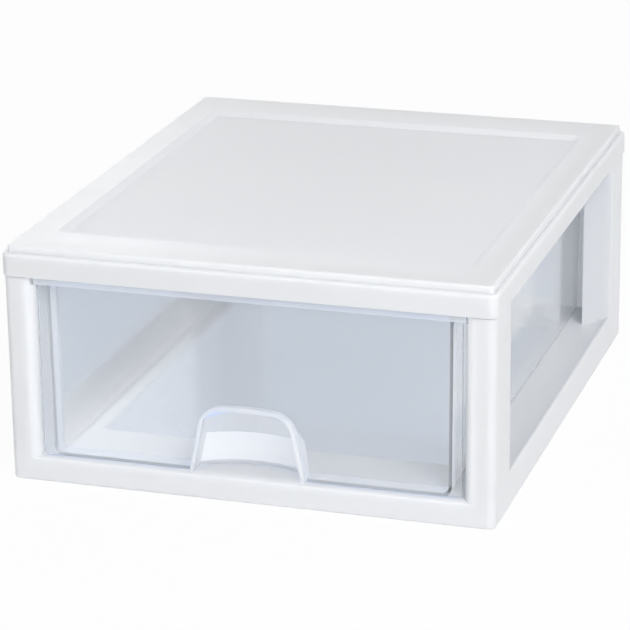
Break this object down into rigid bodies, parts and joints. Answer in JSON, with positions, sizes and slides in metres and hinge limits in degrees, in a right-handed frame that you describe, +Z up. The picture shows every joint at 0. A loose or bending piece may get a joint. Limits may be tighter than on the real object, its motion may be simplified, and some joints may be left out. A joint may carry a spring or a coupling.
{
  "type": "stackable drawer box",
  "caption": "Stackable storage box: white open frame with windows, clip-on white top and a clear drawer with an arched pull that slides out of the front.",
  "frame": {"origin": "middle of the footprint, on the surface that the box stands on", "axes": "+Z up, the drawer opens towards -Y, +X to the right seen from the front"},
  "size_m": [0.365, 0.432, 0.178],
  "materials": {
    "white_plastic": "moulded, soft gloss",
    "clear_plastic": "clear, polished"
  },
  "bodies": {
    "case": {"frame": "white_plastic", "top_panel": "white_plastic"},
    "drawer": {"drawer": "clear_plastic"}
  },
  "joints": [
    {"name": "drawer_slide", "type": "slide", "parent": "case", "child": "drawer", "axis": [0, -1, 0], "range_m": [0, 0.32]}
  ]
}
